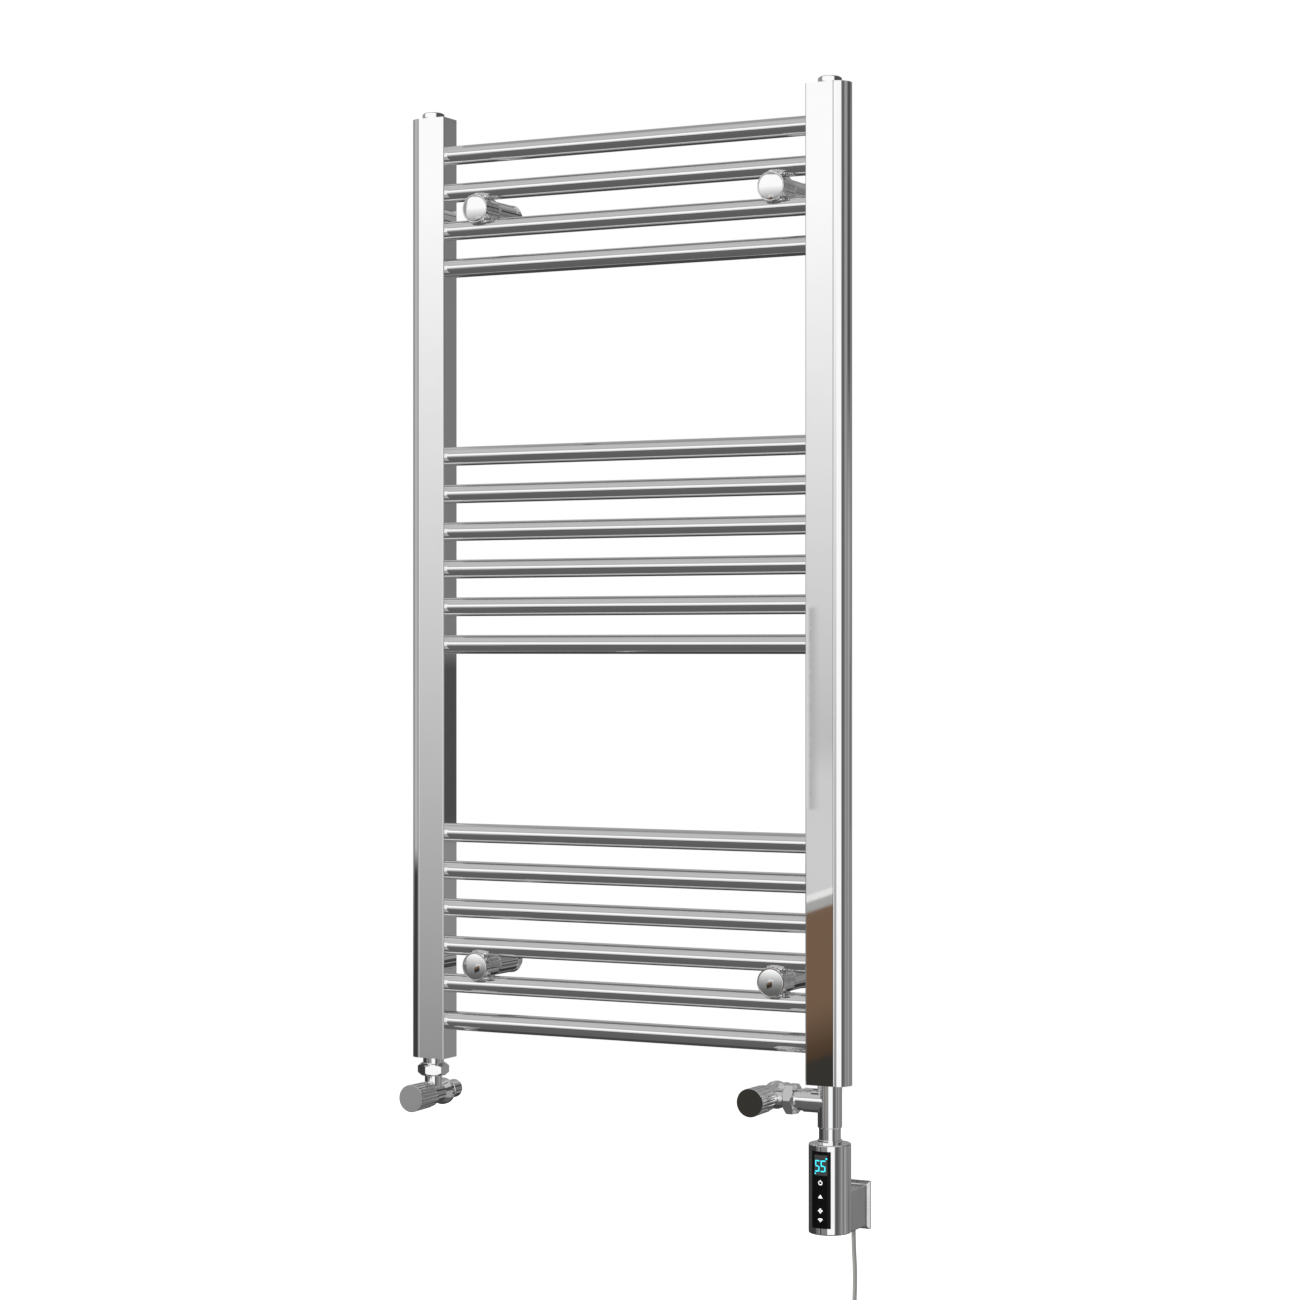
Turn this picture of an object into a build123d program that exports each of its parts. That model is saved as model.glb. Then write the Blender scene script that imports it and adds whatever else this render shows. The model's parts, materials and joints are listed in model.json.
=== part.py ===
"""Chrome dual-fuel ladder radiator with two angle valves and a touch controller, in millimetres.

X runs along the rails, -Y is the front, Y = 0 is the wall and Z is up. The origin is the middle of the
four wall screws.
"""

from build123d import *
from math import asin, cos, pi, radians, sin, sqrt, tan
import os

os.makedirs("parts", exist_ok=True)

# Fits
weld_gap = 0.05
thread_fit = 0.05
running_fit = 0.05
slip_gap = 0.3

# Ladder
radiator_height = 1000.0
radiator_width = 508.0
wall_to_rails = 72.0
post_width = 44.0
post_depth = 28.0
post_bulge = 13.0
pipe_inset = 21.0
post_wall = 1.5
post_corner = 1.5
post_shoulder = 3.0
post_crease = 1.0
end_cap_thickness = 12.0
rail_diameter = 20.0
rail_wall = 1.2
rail_pitch = 40.0
rail_margin = 40.0
rail_counts = (4, 6, 6)

# Half-inch pipe thread, which every plug, tail and tee shares
thread_radius = 10.3
thread_length = 11.0
water_radius = 6.5

# Post plugs
plug_across_flats = 21.0
plug_head = 6.8
plug_face_radius = 9.4
plug_corner_drop = 1.6
ring_width = 1.4
ring_height = 2.0
ring_depth = 1.2
bleed_radius = 2.55
bleed_length = 5.0
bleed_recess = 1.2
bleed_slot = 0.9
bleed_slot_depth = 1.4
bleed_port = 1.0

# Wall brackets, measured along each bracket's own axis from the plane of the rails
bracket_inset = 38.0
button_radius = 15.0
button_front = 14.0
button_back = 9.0
button_rim = 0.8
button_recess = 2.4
dome_rise = 1.0
dome_gap = 0.3
dome_edge = 2.3
dome_round = 0.8
saddle_gap = 0.2
saddle_radius = 14.6
saddle_back = 13.0
rail_grip_gap = 0.15
notch_count = 16
notch_radius = 1.3
tube_radius = 12.4
tube_shoulder = 22.0
tube_end = 66.0
tube_foot_radius = 13.0
tube_foot = 9.0
tube_round = 2.0
flute_start = 15.0
flute_count = 12
flute_radius = 1.3
flute_depth = 0.6
boss_radius = 9.45
boss_length = 24.0
boss_bore_depth = 30.0
boss_counterbore = 10.0
screw_hole_radius = 2.75
screw_head_radius = 5.2
clamp_screw_radius = 3.0
clamp_screw_end = 22.0
clamp_head_radius = 5.0
clamp_head = 5.2
grub_radius = 2.0
grub_setback = 8.0

# Angle valve, measured along the spindle towards the front and along the outlet
valve_rear = 22.0
valve_flare_radius = 14.1
valve_flare = 16.5
valve_waist = 8.0
valve_waist_radius = 11.2
valve_front = 8.0
valve_edge = 1.0
valve_collar_radius = 10.6
valve_collar = 4.0
chamber_radius = 8.5
chamber_front = 3.5
chamber_back = 3.0
seat_thickness = 3.0
seat_radius = 5.0
outlet_radius = 5.5
pipe_stop = 4.0
pipe_bore_radius = 7.6
bonnet_thread_radius = 8.95
bonnet_flange_radius = 10.5
bonnet_flange = 1.6
bonnet_neck_radius = 9.0
bonnet_neck = 12.0
spindle_radius = 3.0
spindle_lift = 3.0
disc_radius = 7.6
disc_thickness = 2.6
spindle_square = 4.2
spindle_square_length = 11.0
square_gap = 0.1
knob_radius = 14.4
knob_back_gap = 0.4
knob_front = 46.0
knob_collar = 4.5
knob_collar_radius = 13.3
knob_shoulder_radius = 13.9
knob_edge = 0.4
knob_flutes = 26
knob_flute_radius = 1.5
knob_flute_depth = 1.2
neck_radius = 9.2
nut_start = 19.7
nut_length = 13.0
nut_across_flats = 29.0
nut_face_radius = 12.9
nut_corner_drop = 3.2
nut_lip = 2.5
nut_thread_radius = 12.3
tail_flange_radius = 12.2
tail_flange = 3.8
tail_neck_radius = 11.0
tail_show = 6.3
inlet_thread_radius = 9.15
inlet_thread = 8.0
inlet_collar_radius = 10.6
inlet_collar = 10.0
inlet_rings = 3
inlet_ring_depth = 0.7
inlet_nose_radius = 9.65
inlet_nose = 14.0
inlet_round = 2.5
olive_length = 3.6

# Tee, heating element and controller
tee_radius = 12.3
tee_height = 43.0
tee_branch_drop = 17.0
tee_branch_radius = 12.0
tee_branch_reach = 28.0
tee_edge = 0.8
tee_bore = 8.0
collar_radius = 11.0
collar_length = 12.0
collar_stub_radius = 8.0
collar_stub = 7.0
element_radius = 5.0
element_length = 370.0
element_foot = 5.0
controller_radius = 21.3
controller_wall = 2.2
controller_height = 89.5
controller_neck_radius = 12.5
controller_neck = 3.0
controller_top = 3.0
controller_edge = 1.2
base_thickness = 4.0
panel_width = 20.8
panel_drop = 6.0
panel_foot_margin = 7.0
panel_turn = 2.5
panel_thickness = 1.2
panel_proud = 0.1
panel_gap = 0.1
board_width = 15.0
board_thickness = 1.6
board_head_gap = 15.0
board_setback = 14.0

# Cable box on the wall behind the controller
box_width = 22.0
box_height = 42.0
box_depth = 41.0
box_wall = 2.0
box_corner = 4.0
box_edge = 1.2
box_top = 54.5
plate_width = 28.0
plate_height = 49.0
plate_thickness = 4.0
plate_bevel = 3.0
plate_bevel_depth = 1.75
plate_screw_spacing = 28.0
plate_screw_radius = 2.1
spigot_radius = 6.0
spigot_wall = 2.0
spigot_reach = 10.0

# Cord, its coil and its plug
cord_radius = 2.25
cord_exit = (1.0, 57.0)
cord_route = (
    (0.0, 0.0, 4.5),
    (0.0, 0.0, -15.5),
    (1.8, 0.2, -45.5),
    (1.2, -0.2, -76.5),
    (0.0, 0.0, -104.5),
    (0.0, 0.0, -129.0),
)
cord_hole_gap = 0.15
coil_inner_radius = 16.75
coil_step = 5.0
coil_turns_in = 4.0
coil_turns_out = 3.5
climb_turns = 0.5
coil_sides = 8
tie_width = 6.0
tie_thickness = 1.0
tie_gap = 0.4
tie_corner = 2.0
tie_head = (7.0, 5.0, 3.5)
tail_length = 27.0
relief_length = 25.0
relief_tip_radius = 3.4
relief_root_radius = 5.5
plug_width = 48.0
plug_length = 50.0
plug_depth = 18.0
plug_corner = 9.0
plug_edge = 2.0
plug_front = 10.0
pin_spacing = 22.2
pin_setback = 13.0
line_pin = (6.35, 4.0, 17.7)
earth_pin = (4.0, 8.0, 22.7)
pin_sink = 6.0

# Places worked out from the sizes above
rail_y = -wall_to_rails
half_height = radiator_height / 2
inner_x = radiator_width / 2 - post_width
post_x = inner_x + pipe_inset
rail_radius = rail_diameter / 2
rail_count = sum(rail_counts)
towel_gap = (
    radiator_height - 2 * rail_margin - rail_pitch * (rail_count - len(rail_counts))
) / (len(rail_counts) - 1)
socket_radius = thread_radius + thread_fit
rail_heights = []
height = half_height - rail_margin
for rails_in_group in rail_counts:
    rail_heights += [height - rail_pitch * n for n in range(rails_in_group)]
    height = rail_heights[-1] - towel_gap
bracket_x = inner_x - bracket_inset
bracket_top = (rail_heights[1] + rail_heights[2]) / 2
bracket_bottom = (rail_heights[-3] + rail_heights[-2]) / 2
bracket_spots = [(x, rail_y, z) for x in (-bracket_x, bracket_x) for z in (bracket_bottom, bracket_top)]
front = (0, -1, 0)
back = (0, 1, 0)
up = (0, 0, 1)


def save(piece, label):
    piece.part.label = label
    export_step(piece.part, f"parts/{label}.step")


def turn(origin, direction, outline, mode=Mode.ADD):
    """Revolves an outline of (distance along the axis, radius) points about an axis."""
    across = (1, 0, 0) if abs(direction[0]) < 0.5 else (0, 1, 0)
    with BuildSketch(Plane(origin=origin, x_dir=direction, z_dir=across)) as section:
        with BuildLine():
            Polyline(*outline, close=True)
        make_face()
    revolve(section.sketch, axis=Axis(origin, direction), mode=mode)


def bore(origin, direction, start, end, radius):
    turn(origin, direction, [(start, 0), (start, radius), (end, radius), (end, 0)], Mode.SUBTRACT)


def post_section(side, inset, level):
    """D outline of a post, drawn in by an inset; the outer one has a crease along each shoulder."""
    with BuildSketch(Plane.XY.offset(level)) as section:
        with BuildLine():
            flat = post_width - post_bulge
            corner = (side * inner_x, rail_y - post_depth / 2)
            shoulder = (side * (inner_x + flat), rail_y - post_depth / 2)
            Polyline(
                shoulder,
                corner,
                (side * inner_x, rail_y + post_depth / 2),
                (side * (inner_x + flat), rail_y + post_depth / 2),
            )
            ThreePointArc(
                (side * (inner_x + flat), rail_y + post_depth / 2),
                (side * (inner_x + post_width), rail_y),
                shoulder,
            )
        make_face()
        by_reach = section.vertices().sort_by(lambda v: abs(v.X))
        fillet(by_reach[:2], post_corner)
        by_reach = section.vertices().sort_by(lambda v: abs(v.X))
        fillet(by_reach[-2:], post_shoulder)
        if inset:
            offset(amount=-inset, mode=Mode.REPLACE)
        else:
            with Locations(shoulder, (shoulder[0], rail_y + post_depth / 2)):
                Rectangle(post_crease, post_crease, rotation=45, mode=Mode.SUBTRACT)
    return section.sketch


def polygon_prism(origin, direction, corner_way, start, length, across_flats, face_radius, corner_drop):
    """Hexagon bar along an axis with a corner one way and its corners turned off at both ends."""
    with BuildSketch(Plane(origin=origin, x_dir=corner_way, z_dir=direction).offset(start)) as section:
        RegularPolygon(across_flats / 2, 6, major_radius=False)
    extrude(section.sketch, amount=length)
    corner = across_flats / sqrt(3)
    outline = [
        (start, 0),
        (start, face_radius),
        (start + corner_drop, corner),
        (start + length - corner_drop, corner),
        (start + length, face_radius),
        (start + length, 0),
    ]
    turn(origin, direction, outline, Mode.INTERSECT)


# Posts, their end caps and the rails between them
for name, side in (("left_post", -1), ("right_post", 1)):
    with BuildPart() as post:
        extrude(post_section(side, 0, -half_height), amount=radiator_height)
        extrude(post_section(side, post_wall, -half_height), amount=radiator_height, mode=Mode.SUBTRACT)
        with BuildSketch(Plane.YZ.offset(side * (inner_x - post_wall))):
            with Locations([(rail_y, z) for z in rail_heights]):
                Circle(rail_radius + weld_gap)
        extrude(amount=side * 3 * post_wall, mode=Mode.SUBTRACT)
    save(post, name)

with BuildPart() as post_end_caps:
    for side in (-1, 1):
        for level in (-half_height, half_height - end_cap_thickness):
            extrude(post_section(side, post_wall + weld_gap, level), amount=end_cap_thickness)
            bore((side * post_x, rail_y, level), up, 0, end_cap_thickness, socket_radius)
save(post_end_caps, "post_end_caps")

rail_reach = inner_x + post_wall
for number, rail_z in enumerate(rail_heights, start=1):
    with BuildPart() as rail:
        with BuildSketch(Plane.YZ.offset(-rail_reach)):
            with Locations((rail_y, rail_z)):
                Circle(rail_radius)
                Circle(rail_radius - rail_wall, mode=Mode.SUBTRACT)
        extrude(amount=2 * rail_reach)
    save(rail, f"rail_{number:02d}")


# Plugs in the post tops, with their sealing rings
def plug_blank(origin):
    polygon_prism(origin, up, (1, -1, 0), 0, plug_head, plug_across_flats, plug_face_radius, plug_corner_drop)
    groove = thread_radius - ring_width
    shank = [
        (0, 0),
        (0, thread_radius),
        (-ring_depth, thread_radius),
        (-ring_depth, groove),
        (-ring_depth - ring_height, groove),
        (-ring_depth - ring_height, thread_radius),
        (-thread_length, thread_radius),
        (-thread_length, 0),
    ]
    turn(origin, up, shank)


left_top = (-post_x, rail_y, half_height)
right_top = (post_x, rail_y, half_height)
bleed_seat = plug_head - bleed_recess - bleed_length
with BuildPart() as air_vent:
    plug_blank(left_top)
    bore(left_top, up, bleed_seat, plug_head, bleed_radius + running_fit)
    bore(left_top, up, -thread_length, bleed_seat, bleed_port)
save(air_vent, "air_vent")

with BuildPart() as bleed_screw:
    turn(
        left_top,
        up,
        [
            (bleed_seat, 0),
            (bleed_seat, bleed_port),
            (bleed_seat + bleed_port, bleed_radius),
            (bleed_seat + bleed_length, bleed_radius),
            (bleed_seat + bleed_length, 0),
        ],
    )
    with BuildSketch(Plane.XY.offset(half_height + bleed_seat + bleed_length - bleed_slot_depth)):
        with Locations(left_top[:2]):
            Rectangle(2 * bleed_radius + 1, bleed_slot)
    extrude(amount=bleed_slot_depth, mode=Mode.SUBTRACT)
save(bleed_screw, "bleed_screw")

with BuildPart() as blanking_plug:
    plug_blank(right_top)
save(blanking_plug, "blanking_plug")


# Wall brackets: one of each piece is made on its own axis and set at the four places
def grip_rails(origin):
    """Cuts the two rails that a bracket holds out of a bracket piece."""
    for offset_z in (-rail_pitch / 2, rail_pitch / 2):
        middle = (origin[0] - 2 * button_radius, origin[1], origin[2] + offset_z)
        bore(middle, (1, 0, 0), 0, 4 * button_radius, rail_radius + rail_grip_gap)


def notch_rim(origin, start, length):
    """Cuts the ring of notches along a bracket piece's edge."""
    with BuildSketch(Plane(origin=origin, x_dir=(1, 0, 0), z_dir=back).offset(start)) as notches:
        with PolarLocations(saddle_radius + notch_radius / 3, notch_count):
            Circle(notch_radius)
    extrude(notches.sketch, amount=length, mode=Mode.SUBTRACT)


def at_brackets(piece, label):
    with BuildPart() as group:
        with Locations(*bracket_spots):
            add(piece.part)
    save(group, label)


zero = (0, 0, 0)
button_floor = button_front - button_recess
head_seat = button_floor - clamp_head - slip_gap
with BuildPart() as clamp_disc:
    disc_outline = [
        (saddle_gap, 0),
        (saddle_gap, saddle_radius),
        (button_back, saddle_radius),
        (button_back, button_radius),
        (button_front - button_rim / 2, button_radius),
        (button_front, button_radius - button_rim / 2),
        (button_front, 0),
    ]
    turn(zero, front, disc_outline)
    bore(zero, front, button_floor, button_front, button_radius - button_rim)
    bore(zero, front, head_seat, button_floor, screw_head_radius)
    bore(zero, front, saddle_gap, head_seat, clamp_screw_radius + thread_fit)
    notch_rim(zero, -button_back, button_back)
    grip_rails(zero)
at_brackets(clamp_disc, "clamp_discs")

dome_radius = button_radius - button_rim - dome_gap
with BuildPart() as dome_cap:
    with BuildSketch(Plane(origin=zero, x_dir=front, z_dir=(1, 0, 0))) as section:
        with BuildLine():
            Polyline(
                (button_front + dome_rise, 0),
                (button_floor, 0),
                (button_floor, dome_radius),
                (button_floor + dome_edge, dome_radius),
            )
            dome_height = button_front + dome_rise - button_floor - dome_edge
            ball = (dome_radius**2 + dome_height**2) / (2 * dome_height)
            lean = asin(dome_radius / ball) / 2
            ThreePointArc(
                (button_floor + dome_edge, dome_radius),
                (button_front + dome_rise - ball + ball * cos(lean), ball * sin(lean)),
                (button_front + dome_rise, 0),
            )
        make_face()
        fillet(section.vertices().sort_by(lambda v: v.X + v.Y)[-1], dome_round)
    revolve(axis=Axis(zero, front))
at_brackets(dome_cap, "dome_caps")

with BuildPart() as clamp_screw:
    turn(
        zero,
        front,
        [
            (-clamp_screw_end, 0),
            (-clamp_screw_end, clamp_screw_radius),
            (head_seat, clamp_screw_radius),
            (head_seat, clamp_head_radius),
            (head_seat + clamp_head, clamp_head_radius),
            (head_seat + clamp_head, 0),
        ],
    )
at_brackets(clamp_screw, "clamp_screws")

with BuildPart() as bracket_holder:
    holder_outline = [
        (saddle_gap, 0),
        (saddle_gap, saddle_radius),
        (saddle_back, saddle_radius),
        (tube_shoulder, tube_radius),
        (tube_end - tube_foot, tube_radius),
        (tube_end - tube_round, tube_foot_radius),
        (tube_end, tube_foot_radius - tube_round),
        (tube_end, 0),
    ]
    turn(zero, back, holder_outline)
    with BuildSketch(Plane(origin=zero, x_dir=(1, 0, 0), z_dir=back).offset(flute_start)) as flutes:
        with PolarLocations(tube_radius + flute_radius - flute_depth, flute_count, start_angle=15):
            Circle(flute_radius)
    extrude(flutes.sketch, amount=tube_end - tube_foot - flute_start, mode=Mode.SUBTRACT)
    notch_rim(zero, saddle_gap, tube_shoulder - saddle_gap)
    grip_rails(zero)
    bore(zero, back, tube_end - boss_bore_depth, tube_end, boss_radius + running_fit)
    bore(zero, back, saddle_gap, tube_end - boss_bore_depth, clamp_screw_radius + thread_fit)
    grub_at = (0, tube_end - grub_setback, 0)
    bore(grub_at, (0, 0, -1), 0, 2 * tube_foot_radius, grub_radius + thread_fit)
at_brackets(bracket_holder, "bracket_holders")

with BuildPart() as grub_screw:
    turn(
        grub_at,
        (0, 0, -1),
        [
            (boss_radius + running_fit, 0),
            (boss_radius + running_fit, grub_radius),
            (tube_radius, grub_radius),
            (tube_radius, 0),
        ],
    )
at_brackets(grub_screw, "grub_screws")

with BuildPart() as wall_boss:
    boss_outline = [
        (wall_to_rails - boss_length, 0),
        (wall_to_rails - boss_length, boss_radius),
        (wall_to_rails, boss_radius),
        (wall_to_rails, 0),
    ]
    turn(zero, back, boss_outline)
    counterbore_end = wall_to_rails - boss_length + boss_counterbore
    bore(zero, back, wall_to_rails - boss_length, counterbore_end, screw_head_radius)
    bore(zero, back, counterbore_end, wall_to_rails, screw_hole_radius)
at_brackets(wall_boss, "wall_bosses")

# Angle valves
seat_back = chamber_back + seat_thickness
olive_front = seat_back + pipe_stop
olive_back = olive_front + olive_length
inlet_front = valve_rear - inlet_thread
inlet_end = valve_rear + inlet_collar + inlet_nose
bonnet_front = valve_front + valve_collar
knob_back = neck_radius + knob_back_gap
bonnet_end = bonnet_front + bonnet_flange + bonnet_neck
disc_back = slip_gap - chamber_back
square_start = bonnet_end + slip_gap
nut_end = nut_start + nut_length
flange_start = nut_end - nut_lip - tail_flange
tail_end = nut_end + tail_show


def angle_valve(name, centre, outlet):
    """Writes the pieces of one valve, whose knob faces the front and whose tail leaves along the outlet."""
    with BuildPart() as body:
        barrel = [
            (-valve_rear, 0),
            (-valve_rear, valve_flare_radius - valve_edge),
            (-valve_rear + valve_edge, valve_flare_radius),
            (-valve_flare, valve_flare_radius),
            (-valve_waist, valve_waist_radius),
            (valve_front, valve_waist_radius),
            (valve_front, valve_collar_radius),
            (bonnet_front, valve_collar_radius),
            (bonnet_front, 0),
        ]
        turn(centre, front, barrel)
        neck = [
            (0, 0),
            (0, neck_radius),
            (nut_start + slip_gap, neck_radius),
            (nut_start + slip_gap, nut_thread_radius),
            (flange_start - weld_gap, nut_thread_radius),
            (flange_start - weld_gap, 0),
        ]
        turn(centre, outlet, neck)
        bore(centre, front, -valve_rear, -olive_front, inlet_thread_radius + thread_fit)
        bore(centre, front, -olive_front, -seat_back, pipe_bore_radius)
        bore(centre, front, -seat_back, -chamber_back, seat_radius)
        bore(centre, front, -chamber_back, chamber_front, chamber_radius)
        bore(centre, front, chamber_front, bonnet_front, bonnet_thread_radius + thread_fit)
        bore(centre, outlet, chamber_radius - slip_gap, nut_end, outlet_radius)
    save(body, f"{name}_valve_body")

    with BuildPart() as compression_nut:
        outline = [
            (-inlet_front, pipe_bore_radius),
            (-inlet_front, inlet_thread_radius),
            (-valve_rear, inlet_thread_radius),
        ]
        ring = inlet_collar / (2 * inlet_rings)
        for n in range(inlet_rings):
            start = valve_rear + 2 * n * ring
            outline += [
                (-start, inlet_collar_radius),
                (-start - ring, inlet_collar_radius),
                (-start - ring, inlet_collar_radius - inlet_ring_depth),
                (-start - 2 * ring, inlet_collar_radius - inlet_ring_depth),
            ]
        outline += [
            (-valve_rear - inlet_collar, inlet_nose_radius),
            (-inlet_end + inlet_round, inlet_nose_radius),
            (-inlet_end + inlet_round * 0.3, inlet_nose_radius - inlet_round * 0.3),
            (-inlet_end, inlet_nose_radius - inlet_round * 0.7),
            (-inlet_end, pipe_bore_radius),
        ]
        turn(centre, front, outline)
    save(compression_nut, f"{name}_compression_nut")

    with BuildPart() as bonnet:
        turn(
            centre,
            front,
            [
                (chamber_front, spindle_radius + running_fit),
                (chamber_front, bonnet_thread_radius),
                (bonnet_front, bonnet_thread_radius),
                (bonnet_front, bonnet_flange_radius),
                (bonnet_front + bonnet_flange, bonnet_flange_radius),
                (bonnet_front + bonnet_flange, bonnet_neck_radius),
                (bonnet_end, bonnet_neck_radius),
                (bonnet_end, spindle_radius + running_fit),
            ],
        )
    save(bonnet, f"{name}_bonnet")

    with BuildPart() as spindle:
        turn(
            centre,
            front,
            [
                (disc_back, 0),
                (disc_back, disc_radius),
                (disc_back + disc_thickness, disc_radius),
                (disc_back + disc_thickness, spindle_radius),
                (square_start, spindle_radius),
                (square_start, 0),
            ],
        )
        with BuildSketch(Plane(origin=centre, x_dir=outlet, z_dir=front).offset(square_start)) as square:
            Rectangle(spindle_square, spindle_square)
        extrude(square.sketch, amount=spindle_square_length)
    save(spindle, f"{name}_spindle")

    with BuildPart() as knob:
        outline = [
            (knob_back, 0),
            (knob_back, knob_collar_radius - knob_edge),
            (knob_back + knob_edge, knob_collar_radius),
            (knob_back + knob_collar, knob_collar_radius),
            (knob_back + knob_collar, knob_shoulder_radius),
            (knob_front - knob_edge, knob_radius),
            (knob_front, knob_radius - knob_edge),
            (knob_front, 0),
        ]
        turn(centre, front, outline)
        flutes_start = knob_back + knob_collar
        with BuildSketch(Plane(origin=centre, x_dir=outlet, z_dir=front).offset(flutes_start)) as flutes:
            with PolarLocations(knob_radius + knob_flute_radius - knob_flute_depth, knob_flutes):
                Circle(knob_flute_radius)
        extrude(flutes.sketch, amount=knob_front - 2 * knob_edge - flutes_start, mode=Mode.SUBTRACT)
        knob_seat = bonnet_front + bonnet_flange + slip_gap
        bore(centre, front, knob_back, knob_seat, valve_collar_radius + slip_gap)
        bore(centre, front, knob_seat, square_start, bonnet_neck_radius + running_fit)
        socket_start = square_start + spindle_lift + slip_gap
        bore(centre, front, square_start, socket_start, spindle_radius + slip_gap)
        with BuildSketch(Plane(origin=centre, x_dir=outlet, z_dir=front).offset(socket_start)) as socket:
            Rectangle(spindle_square + 2 * square_gap, spindle_square + 2 * square_gap)
        extrude(socket.sketch, amount=spindle_square_length, mode=Mode.SUBTRACT)
    save(knob, f"{name}_knob")

    with BuildPart() as union_nut:
        sizes = (nut_start, nut_length, nut_across_flats, nut_face_radius, nut_corner_drop)
        polygon_prism(centre, outlet, back, *sizes)
        bore(centre, outlet, nut_start, nut_end - nut_lip, nut_thread_radius + thread_fit)
        bore(centre, outlet, nut_end - nut_lip, nut_end, tail_neck_radius + thread_fit)
    save(union_nut, f"{name}_union_nut")

    with BuildPart() as tail:
        turn(
            centre,
            outlet,
            [
                (flange_start, water_radius),
                (flange_start, tail_flange_radius),
                (flange_start + tail_flange, tail_flange_radius),
                (flange_start + tail_flange, tail_neck_radius),
                (tail_end, tail_neck_radius),
                (tail_end, thread_radius),
                (tail_end + thread_length, thread_radius),
                (tail_end + thread_length, water_radius),
            ],
        )
    save(tail, f"{name}_tail")


tee_z = -half_height - tee_branch_drop
left_valve = (-post_x, rail_y, -half_height - tail_end)
right_valve = (post_x - tee_branch_reach - tail_end, rail_y, tee_z)
angle_valve("left", left_valve, up)
angle_valve("right", right_valve, (1, 0, 0))

with BuildPart() as olives:
    for centre in (left_valve, right_valve):
        turn(
            centre,
            back,
            [
                (olive_front, pipe_bore_radius),
                (olive_front, inlet_thread_radius - thread_fit),
                (olive_back, inlet_thread_radius - thread_fit),
                (olive_back, pipe_bore_radius),
            ],
        )
save(olives, "olives")

# Tee under the right post
tee_top = (post_x, rail_y, -half_height)
with BuildPart() as tee_piece:
    outline = [
        (thread_length, 0),
        (thread_length, thread_radius),
        (0, thread_radius),
        (0, tee_radius),
        (-tee_height + tee_edge, tee_radius),
        (-tee_height, tee_radius - tee_edge),
        (-tee_height, 0),
    ]
    turn(tee_top, up, outline)
    branch_at = (post_x, rail_y, tee_z)
    branch = [
        (0, 0),
        (0, tee_branch_radius),
        (tee_branch_reach - tee_edge, tee_branch_radius),
        (tee_branch_reach, tee_branch_radius - tee_edge),
        (tee_branch_reach, 0),
    ]
    turn(branch_at, (-1, 0, 0), branch)
    socket_length = thread_length + slip_gap
    bore(tee_top, up, -tee_height, thread_length, tee_bore)
    bore(tee_top, up, -tee_height, -tee_height + socket_length, socket_radius)
    bore(branch_at, (-1, 0, 0), 0, tee_branch_reach, tee_bore)
    bore(branch_at, (-1, 0, 0), tee_branch_reach - socket_length, tee_branch_reach, socket_radius)
save(tee_piece, "tee_piece")

# Heating element and its collar
collar_top = (post_x, rail_y, -half_height - tee_height)
ring_groove = thread_radius - ring_width
with BuildPart() as element_collar:
    turn(
        collar_top,
        up,
        [
            (-collar_length - collar_stub, element_radius + weld_gap),
            (-collar_length - collar_stub, collar_stub_radius),
            (-collar_length, collar_stub_radius),
            (-collar_length, collar_radius),
            (0, collar_radius),
            (0, thread_radius),
            (ring_depth, thread_radius),
            (ring_depth, ring_groove),
            (ring_depth + ring_height, ring_groove),
            (ring_depth + ring_height, thread_radius),
            (thread_length, thread_radius),
            (thread_length, element_radius + weld_gap),
        ],
    )
save(element_collar, "element_collar")

with BuildPart() as sealing_rings:
    for ring_at, towards in ((left_top, (0, 0, -1)), (right_top, (0, 0, -1)), (collar_top, up)):
        turn(
            ring_at,
            towards,
            [
                (ring_depth + weld_gap, ring_groove + weld_gap),
                (ring_depth + weld_gap, thread_radius),
                (ring_depth + ring_height - weld_gap, thread_radius),
                (ring_depth + ring_height - weld_gap, ring_groove + weld_gap),
            ],
        )
save(sealing_rings, "sealing_rings")

element_z = -collar_length - collar_stub + element_foot
with BuildPart() as heating_element:
    turn(
        collar_top,
        up,
        [
            (element_z, 0),
            (element_z, element_radius),
            (element_z + element_length - element_radius, element_radius),
            (element_z + element_length, 0.4 * element_radius),
            (element_z + element_length, 0),
        ],
    )
save(heating_element, "heating_element")

# Controller, measured down from the foot of the element collar
controller_at = (post_x, rail_y, collar_top[2] - collar_length)
housing_top = -controller_neck
housing_foot = housing_top - controller_height
base_top = housing_foot + base_thickness
cavity_radius = controller_radius - controller_wall
box_z = controller_at[2] - box_top
spigot_at = (post_x, rail_y, box_z - box_height / 2)


def panel_sector(inner, outer, half_width, level):
    """Curved strip of the controller's wall that faces the front, turned a little to the left."""
    half_angle = asin(half_width / controller_radius)
    left = radians(panel_turn) + half_angle
    right = half_angle - radians(panel_turn)
    with BuildSketch(Plane.XY.offset(level)) as strip:
        with Locations((post_x, rail_y)):
            Circle(outer)
            Circle(inner, mode=Mode.SUBTRACT)
        with BuildLine():
            Polyline(
                (post_x, rail_y),
                (post_x - 2 * outer * sin(left), rail_y - 2 * outer * cos(left)),
                (post_x + 2 * outer * sin(right), rail_y - 2 * outer * cos(right)),
                close=True,
            )
        make_face(mode=Mode.INTERSECT)
    return strip.sketch


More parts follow.
